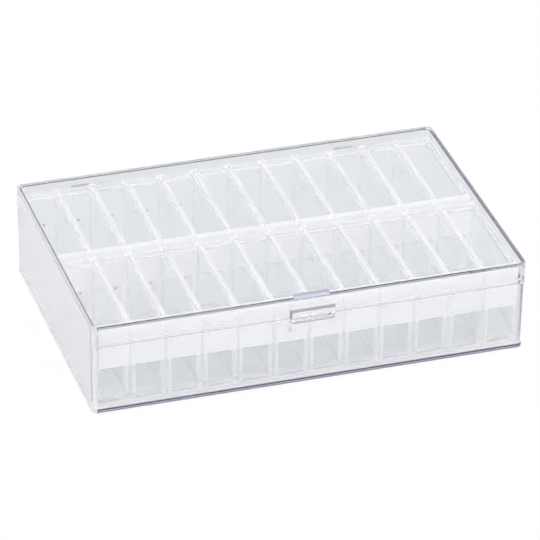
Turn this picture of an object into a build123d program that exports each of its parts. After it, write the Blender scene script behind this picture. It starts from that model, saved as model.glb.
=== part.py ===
from build123d import *
import os

# Bead storage box: a clear hinged case that holds two rows of twelve clear flip-top boxes.
# Millimetres, +Z up, +X right along the length, +Y to the hinge side.
# The origin is the centre of the case's underside.

# Case, outer sizes
CASE_WIDTH = 240.0
CASE_DEPTH = 156.0
CASE_HEIGHT = 52.8
CASE_CORNER = 3.0
PARTING_Z = 40.0
SEAM_GAP = 0.15

# Lid shell of the case
TOP_PLATE = 2.2
LID_WALL = 1.45
LID_INNER_CORNER = 1.9
LID_EDGE_BREAK = 0.35

# Base shell of the case, whose outer walls lean inwards towards the foot
BASE_INSET = 0.3
BASE_DRAFT = 0.4
BASE_FLOOR = 2.4
BASE_WALL_FOOT = 1.7
BASE_INNER_CORNER = 1.6
FOOT_BEAD = 0.5
FOOT_BEAD_HEIGHT = 2.0
LIP_RISE = 2.2
LIP_THICKNESS = 0.8
LIP_CORNER = 2.0

# Case hinges: each has a knuckle on the base and one with a pin on the lid, side by side along X
HINGE_CENTRES = (-76.5, 75.5)
HINGE_OUT = 2.9
HINGE_Z = 40.8
KNUCKLE_RADIUS = 2.5
KNUCKLE_LENGTH = 10.8
KNUCKLE_GAP = 0.4
STOP_HEEL = 2.26
PIN_RADIUS = 1.2
PIN_LENGTH = 7.0
PIN_CLEARANCE = 0.06
ARM_ROOT = 1.2
BASE_ARM_TOP = 1.1
BASE_ARM_DROP = 7.5
LID_ARM_BOTTOM = 0.2
LID_ARM_RISE = 6.0

# Front latch: a thumb bar on the lid over a catch block on the base, on one trapezoid plan
LATCH_ROOT_WIDTH = 25.4
LATCH_FACE_WIDTH = 23.6
LATCH_OUT = 3.6
LATCH_CORNER = 1.4
BAR_BOTTOM = 40.4
BAR_TOP = 45.6
BAR_HOLLOW_DEPTH = 0.9
BAR_HOLLOW_MARGIN = 1.0
CATCH_TOP = 39.0
CATCH_FACE_BOTTOM = 34.2
CATCH_ROOT_BOTTOM = 31.8
RELIEF_WIDTH = 20.0
RELIEF_HEIGHT = 1.4
RELIEF_DEPTH = 3.8

# Flip-top boxes
BOXES_PER_ROW = 12
BOX_PITCH = 19.58
BOX_WIDTH = 19.25
BOX_HEIGHT = 45.0
BOX_WALL = 1.1
BOX_CORNER = 0.9
FRONT_GAP = 2.2
ROW_GAP = 2.8
REAR_GAP = 0.6
NECK_WALL = 1.0
POUR_DROP = 8.0

# Flip lid of a box: top plate, leaning front flap with side cheeks, rear bead with a pivot at each end
LID_PLATE = 1.1
RIM_GAP = 0.2
FLAP_THICKNESS = 1.1
FLAP_BOTTOM = 21.2
FLAP_LEAN = 0.8
CHEEK_LENGTH = 5.5
BEAD_RADIUS = 2.6
BEAD_REACH = 2.9
BEAD_SIDE_GAP = 0.25
PIVOT_RADIUS = 0.9
PIVOT_SIDES = 8
PIVOT_TIP_GAP = 0.1
PIVOT_CLEARANCE = 0.06
EAR_FOOT_REACH = 2.4
EAR_TOP_REACH = 1.3
THUMB_PAD_WIDTH = 12.6
THUMB_PAD_BOTTOM = 31.8
THUMB_PAD_TOP = 39.4
THUMB_PAD_ARCH = 1.5
THUMB_PAD_PROUD = 0.45

# How far a cutting shape runs past the surface that it cuts
OVERCUT = 1.0

# Worked-out sizes
HALF_DEPTH = CASE_DEPTH / 2
BASE_WIDTH = CASE_WIDTH - 2 * BASE_INSET
BASE_DEPTH = CASE_DEPTH - 2 * BASE_INSET
FOOT_WIDTH = BASE_WIDTH - 2 * BASE_DRAFT
FOOT_DEPTH = BASE_DEPTH - 2 * BASE_DRAFT
INNER_WIDTH = FOOT_WIDTH - 2 * BASE_WALL_FOOT
INNER_DEPTH = FOOT_DEPTH - 2 * BASE_WALL_FOOT
LID_BOTTOM = PARTING_Z + SEAM_GAP
HINGE_Y = HALF_DEPTH + HINGE_OUT
BOX_LENGTH = (INNER_DEPTH - FRONT_GAP - ROW_GAP - REAR_GAP) / 2
BOX_RIM = BOX_HEIGHT - LID_PLATE - RIM_GAP
PIVOT_Y = BOX_LENGTH - BEAD_RADIUS
PIVOT_Z = BOX_HEIGHT - BEAD_RADIUS
PLATE_BACK = PIVOT_Y - BEAD_REACH
BEAD_HALF = BOX_WIDTH / 2 - BOX_WALL - BEAD_SIDE_GAP
PIVOT_WINDOW = 2 * (PIVOT_RADIUS + PIVOT_CLEARANCE)
SPOUT_INSET = BOX_WALL + RIM_GAP
SPOUT_FRONT = FLAP_THICKNESS + FLAP_LEAN + RIM_GAP
ROW_FRONTS = {
    "front": -INNER_DEPTH / 2 + FRONT_GAP,
    "back": -INNER_DEPTH / 2 + FRONT_GAP + BOX_LENGTH + ROW_GAP,
}
LATCH_PLAN = [
    (-LATCH_ROOT_WIDTH / 2, -HALF_DEPTH + LID_WALL / 2),
    (-LATCH_ROOT_WIDTH / 2, -HALF_DEPTH),
    (-LATCH_FACE_WIDTH / 2, -HALF_DEPTH - LATCH_OUT),
    (LATCH_FACE_WIDTH / 2, -HALF_DEPTH - LATCH_OUT),
    (LATCH_ROOT_WIDTH / 2, -HALF_DEPTH),
    (LATCH_ROOT_WIDTH / 2, -HALF_DEPTH + LID_WALL / 2),
]


# Base of the case: tray with a foot bead, a locating lip, two hinge knuckles and the catch
with BuildPart() as case_base:
    with BuildSketch():
        RectangleRounded(FOOT_WIDTH, FOOT_DEPTH, CASE_CORNER - BASE_DRAFT)
    with BuildSketch(Plane.XY.offset(PARTING_Z)):
        RectangleRounded(BASE_WIDTH, BASE_DEPTH, CASE_CORNER)
    loft(ruled=True)
    with BuildSketch():
        RectangleRounded(FOOT_WIDTH + 2 * FOOT_BEAD, FOOT_DEPTH + 2 * FOOT_BEAD, CASE_CORNER)
    extrude(amount=FOOT_BEAD_HEIGHT)

    # Locating lip that stands inside the closed lid, and the space for the two rows of boxes
    with BuildSketch(Plane.XY.offset(PARTING_Z)) as lip:
        Rectangle(INNER_WIDTH + 2 * LIP_THICKNESS, INNER_DEPTH + 2 * LIP_THICKNESS)
        chamfer(lip.vertices(), LIP_CORNER)
    extrude(amount=LIP_RISE)
    with BuildSketch(Plane.XY.offset(BASE_FLOOR)) as base_inside:
        Rectangle(INNER_WIDTH, INNER_DEPTH)
        chamfer(base_inside.vertices(), BASE_INNER_CORNER)
    extrude(amount=CASE_HEIGHT, mode=Mode.SUBTRACT)

    # Hinge knuckles, each on an arm that runs down the rear wall, with a square heel that stops the lid
    for centre in HINGE_CENTRES:
        with BuildSketch(Plane.YZ.offset(centre - KNUCKLE_GAP / 2 - KNUCKLE_LENGTH)):
            with Locations((HINGE_Y, HINGE_Z)):
                Circle(KNUCKLE_RADIUS)
                Rectangle(STOP_HEEL, STOP_HEEL, align=(Align.MIN, Align.MIN))
            with BuildLine():
                Polyline(
                    (HALF_DEPTH - ARM_ROOT, HINGE_Z - BASE_ARM_TOP),
                    (HINGE_Y, HINGE_Z - BASE_ARM_TOP),
                    (HINGE_Y, HINGE_Z - KNUCKLE_RADIUS),
                    (HALF_DEPTH - ARM_ROOT, HINGE_Z - BASE_ARM_DROP),
                    close=True,
                )
            make_face()
            with Locations((HINGE_Y, HINGE_Z)):
                Circle(PIN_RADIUS + PIN_CLEARANCE, mode=Mode.SUBTRACT)
        extrude(amount=KNUCKLE_LENGTH)

    # Catch block under the thumb bar, with an underside that slopes back into the wall
    with BuildSketch(Plane.XY.offset(CATCH_ROOT_BOTTOM)):
        with BuildLine():
            Polyline(*LATCH_PLAN, close=True)
        make_face()
    extrude(amount=CATCH_TOP - CATCH_ROOT_BOTTOM)
    fillet(case_base.edges().filter_by(Axis.Z).group_by(Axis.Y)[0], LATCH_CORNER)
    with BuildSketch(Plane.YZ.offset(-LATCH_ROOT_WIDTH / 2 - OVERCUT)):
        with BuildLine():
            Polyline(
                (-HALF_DEPTH, CATCH_ROOT_BOTTOM),
                (-HALF_DEPTH - LATCH_OUT, CATCH_FACE_BOTTOM),
                (-HALF_DEPTH - LATCH_OUT - OVERCUT, CATCH_FACE_BOTTOM),
                (-HALF_DEPTH - LATCH_OUT - OVERCUT, CATCH_ROOT_BOTTOM - OVERCUT),
                (-HALF_DEPTH, CATCH_ROOT_BOTTOM - OVERCUT),
                close=True,
            )
        make_face()
    extrude(amount=LATCH_ROOT_WIDTH + 2 * OVERCUT, mode=Mode.SUBTRACT)

case_base.part.label = "case_base"


# Lid of the case: flat plate with walls, two knuckles with pins, thumb bar and flexing relief
with BuildPart() as case_lid:
    with BuildSketch(Plane.XY.offset(LID_BOTTOM)):
        RectangleRounded(CASE_WIDTH, CASE_DEPTH, CASE_CORNER)
    extrude(amount=CASE_HEIGHT - LID_BOTTOM)
    chamfer(case_lid.faces().sort_by(Axis.Z)[-1].edges(), LID_EDGE_BREAK)
    with BuildSketch(Plane.XY.offset(LID_BOTTOM)) as lid_inside:
        Rectangle(CASE_WIDTH - 2 * LID_WALL, CASE_DEPTH - 2 * LID_WALL)
        chamfer(lid_inside.vertices(), LID_INNER_CORNER)
    extrude(amount=CASE_HEIGHT - TOP_PLATE - LID_BOTTOM, mode=Mode.SUBTRACT)

    # Hinge knuckles on arms that rise up the rear wall, each with the pin that turns in the base's knuckle
    for centre in HINGE_CENTRES:
        with BuildSketch(Plane.YZ.offset(centre + KNUCKLE_GAP / 2)):
            with Locations((HINGE_Y, HINGE_Z)):
                Circle(KNUCKLE_RADIUS)
            with BuildLine():
                Polyline(
                    (HALF_DEPTH - ARM_ROOT, HINGE_Z - LID_ARM_BOTTOM),
                    (HINGE_Y, HINGE_Z - LID_ARM_BOTTOM),
                    (HINGE_Y, HINGE_Z + KNUCKLE_RADIUS),
                    (HALF_DEPTH - ARM_ROOT, HINGE_Z + LID_ARM_RISE),
                    close=True,
                )
            make_face()
        extrude(amount=KNUCKLE_LENGTH)
        with BuildSketch(Plane.YZ.offset(centre + KNUCKLE_GAP / 2)):
            with Locations((HINGE_Y, HINGE_Z)):
                Circle(PIN_RADIUS)
        extrude(amount=-(PIN_LENGTH + KNUCKLE_GAP))

    # Thumb bar with a shallow finger hollow along its face
    with BuildSketch(Plane.XY.offset(BAR_BOTTOM)):
        with BuildLine():
            Polyline(*LATCH_PLAN, close=True)
        make_face()
    extrude(amount=BAR_TOP - BAR_BOTTOM)
    fillet(case_lid.edges().filter_by(Axis.Z).group_by(Axis.Y)[0], LATCH_CORNER)
    with BuildSketch(Plane.XZ.offset(HALF_DEPTH + LATCH_OUT - BAR_HOLLOW_DEPTH)):
        with Locations((0, (BAR_BOTTOM + BAR_TOP) / 2)):
            SlotOverall(
                LATCH_FACE_WIDTH - 2 * LATCH_CORNER - 2 * BAR_HOLLOW_MARGIN,
                BAR_TOP - BAR_BOTTOM - 2 * BAR_HOLLOW_MARGIN,
            )
    extrude(amount=BAR_HOLLOW_DEPTH + OVERCUT, mode=Mode.SUBTRACT)

    # Relief at the top edge that lets the latch wall flex
    with BuildSketch(Plane.XY.offset(CASE_HEIGHT - RELIEF_HEIGHT)):
        with Locations((0, -HALF_DEPTH)):
            Rectangle(RELIEF_WIDTH, 2 * RELIEF_DEPTH)
    extrude(amount=RELIEF_HEIGHT + OVERCUT, mode=Mode.SUBTRACT)

case_lid.part.label = "case_lid"


# Bin of a flip-top box. The box's front is at y = 0, its floor at z = 0, its middle at x = 0
with BuildPart() as bin_master:
    with BuildSketch() as footprint:
        with Locations((0, (BOX_LENGTH + FLAP_LEAN) / 2)):
            Rectangle(BOX_WIDTH, BOX_LENGTH - FLAP_LEAN)
        chamfer(footprint.vertices(), BOX_CORNER)
    extrude(amount=BOX_HEIGHT)

    # Side profile: slanted pouring lip, straight rim, then the ears that hold the lid's pivots,
    # with a square rear corner as the lid's stop
    with BuildSketch(Plane.YZ.offset(-BOX_WIDTH / 2)):
        with BuildLine():
            Polyline(
                (0, BOX_RIM - POUR_DROP),
                (CHEEK_LENGTH + RIM_GAP, BOX_RIM),
                (PIVOT_Y - EAR_FOOT_REACH, BOX_RIM),
                (PIVOT_Y - EAR_TOP_REACH, BOX_HEIGHT),
                (PIVOT_Y - EAR_TOP_REACH, BOX_HEIGHT + OVERCUT),
                (0, BOX_HEIGHT + OVERCUT),
                close=True,
            )
        make_face()
    extrude(amount=BOX_WIDTH, mode=Mode.SUBTRACT)

    # Step round the spout, where the lid's flap and cheeks lie flush
    with BuildSketch(Plane.XY.offset(FLAP_BOTTOM - RIM_GAP)):
        Rectangle(BOX_WIDTH + 2 * OVERCUT, 2 * (CHEEK_LENGTH + RIM_GAP))
        with Locations((0, SPOUT_FRONT)):
            Rectangle(
                BOX_WIDTH - 2 * SPOUT_INSET,
                2 * CHEEK_LENGTH,
                align=(Align.CENTER, Align.MIN),
                mode=Mode.SUBTRACT,
            )
    extrude(amount=BOX_HEIGHT, mode=Mode.SUBTRACT)

    # Inside: a wide bin that narrows to a neck behind the spout
    with BuildSketch(Plane.XY.offset(BOX_WALL)):
        neck_half = BOX_WIDTH / 2 - SPOUT_INSET - NECK_WALL
        bin_half = BOX_WIDTH / 2 - BOX_WALL
        shoulder = CHEEK_LENGTH + RIM_GAP + NECK_WALL
        with BuildLine():
            Polyline(
                (-neck_half, SPOUT_FRONT + NECK_WALL),
                (neck_half, SPOUT_FRONT + NECK_WALL),
                (neck_half, shoulder),
                (bin_half, shoulder + NECK_WALL),
                (bin_half, BOX_LENGTH - BOX_WALL),
                (-bin_half, BOX_LENGTH - BOX_WALL),
                (-bin_half, shoulder + NECK_WALL),
                (-neck_half, shoulder),
                close=True,
            )
        make_face()
    extrude(amount=BOX_HEIGHT, mode=Mode.SUBTRACT)

    # Rear wall cut down below the lid's bead, and a square window in each ear for the lid's pivot
    with BuildSketch(Plane.XY.offset(PIVOT_Z - BEAD_RADIUS - RIM_GAP)):
        with Locations((0, BOX_LENGTH)):
            Rectangle(2 * bin_half, 4 * BOX_WALL)
    extrude(amount=BOX_HEIGHT, mode=Mode.SUBTRACT)
    with BuildSketch(Plane.YZ.offset(-BOX_WIDTH / 2)):
        with Locations((PIVOT_Y, PIVOT_Z)):
            Rectangle(PIVOT_WINDOW, PIVOT_WINDOW)
    extrude(amount=BOX_WIDTH, mode=Mode.SUBTRACT)


# Flip lid of a box, in the same local frame, closed
with BuildPart() as flip_lid_master:
    # Cap over the top and the upper front: plate, leaning flap and cheeks
    with BuildSketch(Plane.YZ.offset(-BOX_WIDTH / 2)):
        with BuildLine():
            Polyline(
                (0, BOX_HEIGHT),
                (PLATE_BACK, BOX_HEIGHT),
                (PLATE_BACK, BOX_HEIGHT - LID_PLATE),
                (CHEEK_LENGTH, BOX_HEIGHT - LID_PLATE),
                (CHEEK_LENGTH, FLAP_BOTTOM),
                (FLAP_LEAN, FLAP_BOTTOM),
                close=True,
            )
        make_face()
    extrude(amount=BOX_WIDTH)
    flap_edges = flip_lid_master.faces().sort_by(Axis.Y)[0].edges()
    chamfer(flap_edges.filter_by(Axis.X, reverse=True), BOX_CORNER)

    # Hollow between the cheeks
    with BuildSketch(Plane.YZ.offset(-BOX_WIDTH / 2 + BOX_WALL)):
        with BuildLine():
            Polyline(
                (FLAP_THICKNESS, BOX_HEIGHT - LID_PLATE),
                (CHEEK_LENGTH + OVERCUT, BOX_HEIGHT - LID_PLATE),
                (CHEEK_LENGTH + OVERCUT, FLAP_BOTTOM - OVERCUT),
                (FLAP_THICKNESS + FLAP_LEAN, FLAP_BOTTOM - OVERCUT),
                close=True,
            )
        make_face()
    extrude(amount=BOX_WIDTH - 2 * BOX_WALL, mode=Mode.SUBTRACT)

    # Bead between the ears: half round behind, sloping up to the plate in front
    with BuildSketch(Plane.YZ.offset(-BEAD_HALF)):
        with BuildLine():
            ThreePointArc(
                (PIVOT_Y, PIVOT_Z - BEAD_RADIUS),
                (PIVOT_Y + BEAD_RADIUS, PIVOT_Z),
                (PIVOT_Y, BOX_HEIGHT),
            )
            Polyline(
                (PIVOT_Y, BOX_HEIGHT),
                (PLATE_BACK, BOX_HEIGHT),
                (PLATE_BACK, BOX_HEIGHT - LID_PLATE),
                (PIVOT_Y, PIVOT_Z - BEAD_RADIUS),
            )
        make_face()
    extrude(amount=2 * BEAD_HALF)

    # Pivots, one at each end of the bead, that snap into the windows of the ears
    with BuildSketch(Plane.YZ.offset(-BOX_WIDTH / 2 + PIVOT_TIP_GAP)):
        with Locations((PIVOT_Y, PIVOT_Z)):
            RegularPolygon(PIVOT_RADIUS, PIVOT_SIDES)
    extrude(amount=BOX_WIDTH - 2 * PIVOT_TIP_GAP)

    # Thumb pad with an arched top, near the top of the flap
    with BuildSketch(Plane.XZ.offset(THUMB_PAD_PROUD)):
        with BuildLine():
            Polyline(
                (THUMB_PAD_WIDTH / 2, THUMB_PAD_TOP - THUMB_PAD_ARCH),
                (THUMB_PAD_WIDTH / 2, THUMB_PAD_BOTTOM),
                (-THUMB_PAD_WIDTH / 2, THUMB_PAD_BOTTOM),
                (-THUMB_PAD_WIDTH / 2, THUMB_PAD_TOP - THUMB_PAD_ARCH),
            )
            ThreePointArc(
                (-THUMB_PAD_WIDTH / 2, THUMB_PAD_TOP - THUMB_PAD_ARCH),
                (0, THUMB_PAD_TOP),
                (THUMB_PAD_WIDTH / 2, THUMB_PAD_TOP - THUMB_PAD_ARCH),
            )
        make_face()
    extrude(amount=-(THUMB_PAD_PROUD + FLAP_THICKNESS / 2))


os.makedirs("parts", exist_ok=True)
export_step(case_base.part, "parts/case_base.step")
export_step(case_lid.part, "parts/case_lid.step")

# Boxes in their rows
for row, front_y in ROW_FRONTS.items():
    for number in range(1, BOXES_PER_ROW + 1):
        centre_x = (number - (BOXES_PER_ROW + 1) / 2) * BOX_PITCH
        for piece, master in (("bin", bin_master), ("flip_lid", flip_lid_master)):
            with BuildPart() as placed:
                with Locations((centre_x, front_y, BASE_FLOOR)):
                    add(master.part)
            placed.part.label = f"{row}_{piece}_{number:02d}"
            export_step(placed.part, f"parts/{placed.part.label}.step")
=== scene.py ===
import math

import bpy
from mathutils import Matrix, Vector


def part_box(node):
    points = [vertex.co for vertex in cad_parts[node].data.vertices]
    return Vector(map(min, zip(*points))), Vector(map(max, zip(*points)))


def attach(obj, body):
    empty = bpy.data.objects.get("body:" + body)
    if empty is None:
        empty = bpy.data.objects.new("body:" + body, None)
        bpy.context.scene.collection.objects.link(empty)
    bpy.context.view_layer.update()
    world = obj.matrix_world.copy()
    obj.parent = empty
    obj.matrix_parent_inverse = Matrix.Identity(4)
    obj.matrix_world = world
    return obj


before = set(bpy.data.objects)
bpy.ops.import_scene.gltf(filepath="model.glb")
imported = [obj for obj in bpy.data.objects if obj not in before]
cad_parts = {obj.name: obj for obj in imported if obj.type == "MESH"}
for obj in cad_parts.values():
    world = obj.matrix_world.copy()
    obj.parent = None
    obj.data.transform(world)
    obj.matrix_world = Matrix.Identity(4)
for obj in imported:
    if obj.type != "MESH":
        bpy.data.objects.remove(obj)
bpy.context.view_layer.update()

# Sizes in metres
MM = 0.001
CASE_CENTRE = Vector((0.0, 0.0, 26.0 * MM))

# The photograph's view: direction, distance, lens and the picture's shift on the object
VIEW_AZIMUTH = math.radians(-17.937)
VIEW_ELEVATION = math.radians(30.975)
VIEW_ROLL = math.radians(0.905)
VIEW_DISTANCE = 2380.2 * MM
VIEW_OFFSET = Vector((1.468, -2.350)) * MM
LENS_MM = 292.61
SENSOR_MM = 36.0

# Studio
WHITE = (1.0, 1.0, 1.0, 1.0)
FLOOR_SIZE = 12.0
FLOOR_DROP = 0.05 * MM
FLOOR_COLOUR = (0.97, 0.97, 0.975, 1.0)
# Floor colour seen through the plastic: painted shade for the shadow under the case
FLOOR_PAINTED_SHADE_THROUGH_PLASTIC = (0.66, 0.69, 0.72, 1.0)
FLOOR_GLOW_SHARE = 0.93
LIGHT_LEVEL = 1.05
SKY_STEPS = [(0.0, 1.0), (0.49, 1.0), (0.51, 0.8), (0.55, 0.8), (0.6, 1.0), (1.0, 1.05)]
SKY_BLUE = 1.02

# Edge rounding of the moulded pieces
CASE_EDGE = 0.35 * MM
BOX_EDGE = 0.22 * MM
EDGE_ANGLE = math.radians(35.0)
WELD_DISTANCE = 0.001 * MM
AIR_GAP = 0.02 * MM

# Moulding stubs on the bins
GATE_HEIGHT = 22.4 * MM
GATE_SIDE = 2.4 * MM
GATE_RADIUS = 0.8 * MM
GATE_TAPER = 0.8
GATE_DEPTH = 0.35 * MM
GATE_ROOT = 0.1 * MM
GATE_SIDES = 16

# The two plastics: the case is denser and glassier than the small boxes
CASE_PLASTIC = dict(index=1.58, roughness=0.015, ripple=0.05, gloss_scale=40.0,
                    tint=(0.62, 0.65, 0.74), density=6.0, haze=0.0)
BOX_PLASTIC = dict(index=1.5, roughness=0.03, ripple=0.1, gloss_scale=90.0,
                   tint=(0.80, 0.88, 0.97), density=4.0, haze=0.02, middle=(0.5, 0.0, 0.0))
WAVE_SCALE = 28.0
WAVE_DEPTH = 0.002

# Sockets of a Mix node that mixes colours
MIX_SHARE, MIX_A, MIX_B, MIX_RESULT = 0, 6, 7, 2

# Zones of the case's plastic in millimetres: milky ones with their share, and ones of painted shade with the colour
# painted into the surface
BASE_HAZY = [
    # Underside, and the foot of the left wall
    (0.5, {"z": (-1.0, 0.3)}),
    (0.8, {"z": (-1.0, 3.4), "x": (-125.0, -118.3)}),
    # White band along the front foot, fading upwards
    (0.95, {"z": (2.05, 3.6), "y": (-90.0, -75.5)}),
    (0.5, {"z": (3.6, 5.6), "y": (-90.0, -75.5)}),
    (0.2, {"z": (5.6, 9.0), "y": (-90.0, -75.5)}),
    # Left end of the catch block
    (0.7, {"z": (31.0, 34.4), "y": (-90.0, -77.9), "x": (-13.5, -10.8)}),
    (0.3, {"z": (34.4, 39.5), "y": (-90.0, -77.9), "x": (-13.5, -10.8)}),
    # Lip behind the lid's front wall, left wall, and front left corner post
    (0.85, {"z": (41.7, 60.0), "y": (-90.0, -74.0)}),
    (0.35, {"z": (3.4, 60.0), "x": (-125.0, -118.5)}),
    (0.9, {"z": (0.3, 60.0), "x": (-125.0, -117.4), "y": (-90.0, -75.4)}),
]
BASE_PAINTED_SHADE = [
    # Painted reflection: violet lip on the right
    ((0.24, 0.20, 0.58), {"z": (40.2, 60.0), "x": (116.0, 125.0)}),
    # Painted shade: dark line along the front foot, with a painted violet reflection line under it
    ((0.02, 0.02, 0.04), {"z": (1.4, 2.05), "y": (-90.0, -76.0)}),
    ((0.16, 0.14, 0.45), {"z": (0.3, 1.0), "y": (-90.0, -76.0)}),
    # Painted shade on the hinge knuckles, greyed so they show as dark lines
    ((0.24, 0.24, 0.27), {"z": (40.2, 60.0), "y": (77.9, 90.0)}),
    # Painted reflection: violet line beside the corner post
    ((0.07, 0.05, 0.36), {"z": (6.0, 42.5), "y": (-75.4, -73.2), "x": (-125.0, -118.3)}),
]
LID_HAZY = [
    # Left rim, left wall, and front left corner post
    (0.85, {"z": (50.3, 53.0), "x": (-121.0, -119.4)}),
    (0.35, {"z": (39.0, 50.3), "x": (-121.0, -118.5)}),
    (0.9, {"z": (39.0, 53.0), "x": (-121.0, -117.4), "y": (-79.0, -75.4)}),
    # Rear rim, back of the relief, and right rim
    (0.85, {"z": (50.3, 53.0), "y": (77.4, 79.0)}),
    (0.5, {"z": (50.9, 53.0), "y": (-76.0, -73.8), "X": (0.0, 10.2)}),
    (0.4, {"z": (50.3, 53.0), "x": (119.4, 121.0)}),
]
LID_PAINTED_SHADE = [
    # Painted shade: dark lines along the inner edges at the sides and at the rear
    ((0.01, 0.008, 0.05), {"z": (50.0, 50.8), "X": (117.9, 118.8)}),
    ((0.003, 0.003, 0.006), {"z": (50.0, 50.7), "y": (75.9, 76.6)}),
    # Painted reflection: violet on the relief
    ((0.62, 0.60, 0.88), {"z": (51.0, 53.0), "y": (-79.0, -74.1), "X": (0.0, 10.1)}),
    # Painted shade on the hinge knuckles, greyed so they show as dark lines
    ((0.24, 0.24, 0.27), {"z": (39.4, 60.0), "y": (78.2, 90.0)}),
    # Painted reflection: violet line beside the corner post
    ((0.16, 0.13, 0.50), {"z": (41.0, 49.5), "y": (-75.4, -73.2), "x": (-125.0, -118.3)}),
    # Painted shade along the lower edge of the right wall and of the front wall
    ((0.15, 0.15, 0.20), {"z": (39.0, 40.4), "x": (117.0, 130.0)}),
    ((0.22, 0.22, 0.25), {"z": (39.0, 40.3), "y": (-90.0, -76.0)}),
]

# Zones of the small boxes' plastic in shares of the piece's box, with x from its middle
BIN_HAZY = [
    # Front corner strips, front wall, top edges of the sides and of the rear, and rear corner strips
    (0.8, {"X": (0.36, 0.6), "y": (-0.1, 0.045)}),
    (0.14, {"X": (0.0, 0.36), "y": (-0.1, 0.03)}),
    (0.7, {"X": (0.44, 0.6), "z": (0.88, 1.1)}),
    (0.6, {"y": (0.97, 1.1), "z": (0.85, 1.1)}),
    (0.45, {"X": (0.46, 0.6), "y": (0.95, 1.1), "z": (0.03, 0.88)}),
]
BIN_PAINTED_SHADE = [
    # Painted shade: side walls a little darker and bluer
    ((0.97, 0.976, 0.99), {"X": (0.42, 0.6), "z": (0.05, 0.88)}),
]
FLIP_HAZY = [
    # Side edges of the plate, a fainter band beside the right one, the front flap and the rear bead
    (0.9, {"X": (0.45, 0.6), "z": (0.93, 1.1)}),
    (0.25, {"x": (0.36, 0.45), "z": (0.93, 1.1)}),
    (0.9, {"y": (-0.1, 0.06)}),
    (0.7, {"y": (0.93, 1.1), "z": (0.85, 1.1)}),
]

bin_nodes = [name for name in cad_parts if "_bin_" in name]
flip_nodes = [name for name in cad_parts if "_flip_lid_" in name]


def new_material(name):
    """A node material with only its output and a Principled shader."""
    material = bpy.data.materials.new(name)
    material.use_nodes = True
    shader = material.node_tree.nodes["Principled BSDF"]
    return material, material.node_tree, shader


def add_node(tree, kind, **values):
    """Adds a node and sets the given attributes or input sockets."""
    node = tree.nodes.new(kind)
    for key, value in values.items():
        if hasattr(node, key):
            setattr(node, key, value)
        else:
            node.inputs[key.replace("_", " ")].default_value = value
    return node


def math_node(tree, operation, *values, **options):
    """The result of a Math node whose inputs are linked where a socket is given, and set where a number is."""
    node = add_node(tree, "ShaderNodeMath", operation=operation, **options)
    for socket, value in zip(node.inputs, values):
        if isinstance(value, (int, float)):
            socket.default_value = value
        else:
            tree.links.new(value, socket)
    return node.outputs[0]


def zone(tree, place, limits):
    """1 inside the given ranges of x, y and z, and 0 elsewhere.
    A capital letter means the distance from the middle."""
    axes = add_node(tree, "ShaderNodeSeparateXYZ")
    tree.links.new(place, axes.inputs["Vector"])
    result = None
    for axis, (low, high) in limits.items():
        value = axes.outputs[axis.upper()]
        if axis.isupper():
            value = math_node(tree, "ABSOLUTE", value)
        inside = math_node(tree, "COMPARE", value, (low + high) / 2, (high - low) / 2)
        result = inside if result is None else math_node(tree, "MULTIPLY", result, inside)
    return result


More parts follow.
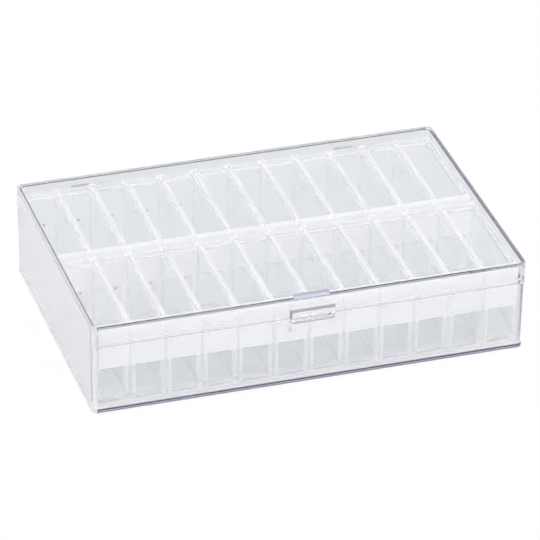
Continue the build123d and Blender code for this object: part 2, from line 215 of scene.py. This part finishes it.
def clear_plastic(name, index, roughness, ripple, gloss_scale, tint, density, haze,
                  hazy, painted_shade, middle=None):
    """Clear moulded plastic: glassy, with a faint ripple and uneven gloss. Long paths through it pick up its tint.
    hazy lists zones with their share of milky scatter, and the list of painted zones gives each the colour of
    painted shade put into its surface.
    Zones are measured in the piece's own millimetres or, where middle is given, in shares of its box from there."""
    material, tree, shader = new_material(name)
    links = tree.links
    shader.inputs["IOR"].default_value = index
    shader.inputs["Transmission Weight"].default_value = 1.0
    place = add_node(tree, "ShaderNodeTexCoord")
    spot = add_node(tree, "ShaderNodeVectorMath", operation="MULTIPLY_ADD")
    if middle is None:
        links.new(place.outputs["Object"], spot.inputs[0])
        spot.inputs[1].default_value = (1 / MM, 1 / MM, 1 / MM)
        spot.inputs[2].default_value = (0.0, 0.0, 0.0)
    else:
        links.new(place.outputs["Generated"], spot.inputs[0])
        spot.inputs[1].default_value = (1.0, 1.0, 1.0)
        spot.inputs[2].default_value = tuple(-value for value in middle)

    gloss = add_node(tree, "ShaderNodeTexNoise", Scale=gloss_scale, Detail=3.0)
    links.new(place.outputs["Object"], gloss.inputs["Vector"])
    gloss_range = add_node(tree, "ShaderNodeMapRange", From_Min=0.3, From_Max=0.7,
                           To_Min=roughness * 0.5, To_Max=roughness * 1.5)
    links.new(gloss.outputs["Fac"], gloss_range.inputs["Value"])
    links.new(gloss_range.outputs["Result"], shader.inputs["Roughness"])

    wave = add_node(tree, "ShaderNodeTexNoise", Scale=WAVE_SCALE, Detail=1.0)
    links.new(place.outputs["Object"], wave.inputs["Vector"])
    bump = add_node(tree, "ShaderNodeBump", Strength=ripple, Distance=WAVE_DEPTH)
    links.new(wave.outputs["Fac"], bump.inputs["Height"])
    links.new(bump.outputs["Normal"], shader.inputs["Normal"])

    shader.inputs["Base Color"].default_value = WHITE
    surface = None
    # Painted shade: each zone's colour is mixed into the surface colour, which darkens what passes through there
    for colour, limits in painted_shade:
        paint = add_node(tree, "ShaderNodeMix", data_type="RGBA")
        if surface is None:
            paint.inputs[MIX_A].default_value = WHITE
        else:
            links.new(surface, paint.inputs[MIX_A])
        paint.inputs[MIX_B].default_value = (*colour, 1.0)
        links.new(zone(tree, spot.outputs[0], limits), paint.inputs[MIX_SHARE])
        surface = paint.outputs[MIX_RESULT]
        links.new(surface, shader.inputs["Base Color"])

    output = tree.nodes["Material Output"]
    absorb = add_node(tree, "ShaderNodeVolumeAbsorption", Density=density)
    absorb.inputs["Color"].default_value = (*tint, 1.0)
    links.new(absorb.outputs["Volume"], output.inputs["Volume"])

    passed = add_node(tree, "ShaderNodeBsdfTranslucent")
    passed.inputs["Color"].default_value = WHITE
    returned = add_node(tree, "ShaderNodeBsdfDiffuse")
    returned.inputs["Color"].default_value = WHITE
    milk = add_node(tree, "ShaderNodeMixShader", Fac=0.5)
    links.new(passed.outputs["BSDF"], milk.inputs[1])
    links.new(returned.outputs["BSDF"], milk.inputs[2])
    share = haze
    for amount, limits in hazy:
        inside = zone(tree, spot.outputs[0], limits)
        share = math_node(tree, "MULTIPLY_ADD", inside, amount, share, use_clamp=True)
    blend = add_node(tree, "ShaderNodeMixShader")
    links.new(share, blend.inputs["Fac"])
    links.new(shader.outputs["BSDF"], blend.inputs[1])
    links.new(milk.outputs["Shader"], blend.inputs[2])
    links.new(blend.outputs["Shader"], output.inputs["Surface"])
    return material


def make_frosted(name):
    """Torn plastic, matte and a little grey, with fine grain."""
    material, tree, shader = new_material(name)
    place = add_node(tree, "ShaderNodeTexCoord")
    grain = add_node(tree, "ShaderNodeTexNoise", Scale=900.0, Detail=2.0)
    tree.links.new(place.outputs["Object"], grain.inputs["Vector"])
    tone = add_node(tree, "ShaderNodeValToRGB")
    dark, light = tone.color_ramp.elements
    dark.position, dark.color = 0.3, (0.28, 0.29, 0.31, 1.0)
    light.position, light.color = 0.7, (0.55, 0.56, 0.59, 1.0)
    tree.links.new(grain.outputs["Fac"], tone.inputs["Fac"])
    tree.links.new(tone.outputs["Color"], shader.inputs["Base Color"])
    shader.inputs["Roughness"].default_value = 0.6
    return material


def finish_cad(names, material, edge):
    """Rounds the edges of CAD nodes and gives them their plastic."""
    for name in names:
        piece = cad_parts[name]
        weld = piece.modifiers.new("weld", "WELD")
        weld.merge_threshold = WELD_DISTANCE
        shrink = piece.modifiers.new("air_gap", "DISPLACE")
        shrink.strength = -AIR_GAP
        shrink.mid_level = 0.0
        bevel = piece.modifiers.new("edge", "BEVEL")
        bevel.width = edge
        bevel.segments = 2
        bevel.limit_method = "ANGLE"
        bevel.angle_limit = EDGE_ANGLE
        bevel.use_clamp_overlap = True
        bevel.harden_normals = False
        piece.data.materials.clear()
        piece.data.materials.append(material)


def make_gate_marks(material):
    """The small frosted stubs left by moulding on the bins' rear walls."""
    vertices, faces = [], []
    for name in bin_nodes:
        low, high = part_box(name)
        centre = Vector(((low[0] + high[0]) / 2 + GATE_SIDE, high[1], low[2] + GATE_HEIGHT))
        start = len(vertices)
        for depth, radius in ((-GATE_ROOT, GATE_RADIUS), (GATE_DEPTH, GATE_RADIUS * GATE_TAPER)):
            for step in range(GATE_SIDES):
                angle = 2 * math.pi * step / GATE_SIDES
                vertices.append(centre + Vector((radius * math.cos(angle), depth, radius * math.sin(angle))))
        root = [start + step for step in range(GATE_SIDES)]
        tip = [start + GATE_SIDES + step for step in range(GATE_SIDES)]
        for step in range(GATE_SIDES):
            following = (step + 1) % GATE_SIDES
            faces.append((root[step], tip[step], tip[following], root[following]))
        faces.append(tuple(root))
        faces.append(tuple(reversed(tip)))
    mesh = bpy.data.meshes.new("gate_marks")
    mesh.from_pydata(vertices, [], faces)
    mesh.materials.append(material)
    marks = bpy.data.objects.new("gate_marks", mesh)
    bpy.context.scene.collection.objects.link(marks)
    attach(marks, "case_base")


def make_floor():
    """A white floor that keeps the object's soft shadow. It is white to the camera and to glossy rays,
    and greyer through the plastic: a painted shade for the shadow under the case."""
    mesh = bpy.data.meshes.new("floor")
    half = FLOOR_SIZE / 2
    corners = [(-half, -half, 0), (half, -half, 0), (half, half, 0), (-half, half, 0)]
    mesh.from_pydata(corners, [], [(0, 1, 2, 3)])
    floor = bpy.data.objects.new("floor", mesh)
    floor.location = (0, 0, -FLOOR_DROP)
    bpy.context.scene.collection.objects.link(floor)
    material, tree, shader = new_material("floor_white")
    shader.inputs["Base Color"].default_value = FLOOR_COLOUR
    shader.inputs["Roughness"].default_value = 0.9
    shader.inputs["Specular IOR Level"].default_value = 0.0
    path = add_node(tree, "ShaderNodeLightPath")

    # Rays through plastic see the greyer tone, a painted shade for the shadow under the case, unless they have met
    # a milky surface
    direct = math_node(tree, "LESS_THAN", path.outputs["Diffuse Depth"], 0.5)
    through = math_node(tree, "MULTIPLY", direct, path.outputs["Is Transmission Ray"])
    tone = add_node(tree, "ShaderNodeMix", data_type="RGBA")
    tone.inputs[MIX_A].default_value = WHITE
    tone.inputs[MIX_B].default_value = FLOOR_PAINTED_SHADE_THROUGH_PLASTIC
    tree.links.new(through, tone.inputs[MIX_SHARE])
    glow = add_node(tree, "ShaderNodeEmission", Strength=1.0)
    tree.links.new(tone.outputs[MIX_RESULT], glow.inputs["Color"])

    # The glow is only for rays that see the floor. It doesn't light the object.
    seen = math_node(tree, "MAXIMUM", path.outputs["Is Camera Ray"], path.outputs["Is Glossy Ray"])
    seen = math_node(tree, "MAXIMUM", seen, path.outputs["Is Transmission Ray"])
    mix = add_node(tree, "ShaderNodeMixShader")
    tree.links.new(math_node(tree, "MULTIPLY", seen, FLOOR_GLOW_SHARE), mix.inputs["Fac"])
    tree.links.new(shader.outputs["BSDF"], mix.inputs[1])
    tree.links.new(glow.outputs["Emission"], mix.inputs[2])
    tree.links.new(mix.outputs["Shader"], tree.nodes["Material Output"].inputs["Surface"])
    mesh.materials.append(material)


def make_world():
    """Soft studio: bright above and below, darker walls round the horizon, and plain white to the camera."""
    world = bpy.data.worlds.new("studio")
    bpy.context.scene.world = world
    world.use_nodes = True
    tree = world.node_tree
    background = tree.nodes["Background"]
    place = add_node(tree, "ShaderNodeTexCoord")
    parts = add_node(tree, "ShaderNodeSeparateXYZ")
    ramp = add_node(tree, "ShaderNodeValToRGB")
    while len(ramp.color_ramp.elements) < len(SKY_STEPS):
        ramp.color_ramp.elements.new(0.5)
    for element, (position, level) in zip(ramp.color_ramp.elements, SKY_STEPS):
        element.position = position
        element.color = (level, level, level * SKY_BLUE, 1.0)
    height = add_node(tree, "ShaderNodeMapRange", From_Min=-1.0, From_Max=1.0)
    path = add_node(tree, "ShaderNodeLightPath")
    mix = add_node(tree, "ShaderNodeMix", data_type="RGBA")
    mix.inputs[MIX_B].default_value = WHITE
    tree.links.new(place.outputs["Generated"], parts.inputs["Vector"])
    tree.links.new(parts.outputs["Z"], height.inputs["Value"])
    tree.links.new(height.outputs["Result"], ramp.inputs["Fac"])
    tree.links.new(path.outputs["Is Camera Ray"], mix.inputs[MIX_SHARE])
    tree.links.new(ramp.outputs["Color"], mix.inputs[MIX_A])
    tree.links.new(mix.outputs[MIX_RESULT], background.inputs["Color"])
    background.inputs["Strength"].default_value = LIGHT_LEVEL


def make_camera():
    """Puts the camera where the photograph was taken from."""
    forward = Vector((
        -math.sin(VIEW_AZIMUTH) * math.cos(VIEW_ELEVATION),
        math.cos(VIEW_AZIMUTH) * math.cos(VIEW_ELEVATION),
        -math.sin(VIEW_ELEVATION),
    ))
    level_right = Vector((math.cos(VIEW_AZIMUTH), math.sin(VIEW_AZIMUTH), 0.0))
    level_up = level_right.cross(forward)
    right = math.cos(VIEW_ROLL) * level_right + math.sin(VIEW_ROLL) * level_up
    up = -math.sin(VIEW_ROLL) * level_right + math.cos(VIEW_ROLL) * level_up
    data = bpy.data.cameras.new("camera")
    data.lens = LENS_MM
    data.sensor_width = SENSOR_MM
    data.clip_start = 0.05
    data.clip_end = 50.0
    camera = bpy.data.objects.new("camera", data)
    bpy.context.scene.collection.objects.link(camera)
    place = CASE_CENTRE + right * VIEW_OFFSET.x + up * VIEW_OFFSET.y - forward * VIEW_DISTANCE
    camera.matrix_world = Matrix.Translation(place) @ Matrix((right, up, -forward)).transposed().to_4x4()
    bpy.context.scene.camera = camera


def set_paths():
    """Lets light pass through the many clear walls, and keeps colours as they are written."""
    cycles = bpy.context.scene.cycles
    cycles.max_bounces = 96
    cycles.transmission_bounces = 96
    cycles.glossy_bounces = 48
    cycles.diffuse_bounces = 24
    cycles.transparent_max_bounces = 16
    cycles.caustics_refractive = True
    cycles.caustics_reflective = True
    cycles.blur_glossy = 0.0
    bpy.context.scene.view_settings.view_transform = "Standard"


make_camera()
base_plastic = clear_plastic("clear_base_plastic", hazy=BASE_HAZY, painted_shade=BASE_PAINTED_SHADE, **CASE_PLASTIC)
lid_plastic = clear_plastic("clear_lid_plastic", hazy=LID_HAZY, painted_shade=LID_PAINTED_SHADE, **CASE_PLASTIC)
bin_plastic = clear_plastic("clear_bin_plastic", hazy=BIN_HAZY, painted_shade=BIN_PAINTED_SHADE, **BOX_PLASTIC)
flip_plastic = clear_plastic("clear_flip_lid_plastic", hazy=FLIP_HAZY, painted_shade=[], **BOX_PLASTIC)
finish_cad(["case_base"], base_plastic, CASE_EDGE)
finish_cad(["case_lid"], lid_plastic, CASE_EDGE)
finish_cad(bin_nodes, bin_plastic, BOX_EDGE)
finish_cad(flip_nodes, flip_plastic, BOX_EDGE)
make_gate_marks(make_frosted("frosted_gate"))
make_floor()
make_world()
set_paths()
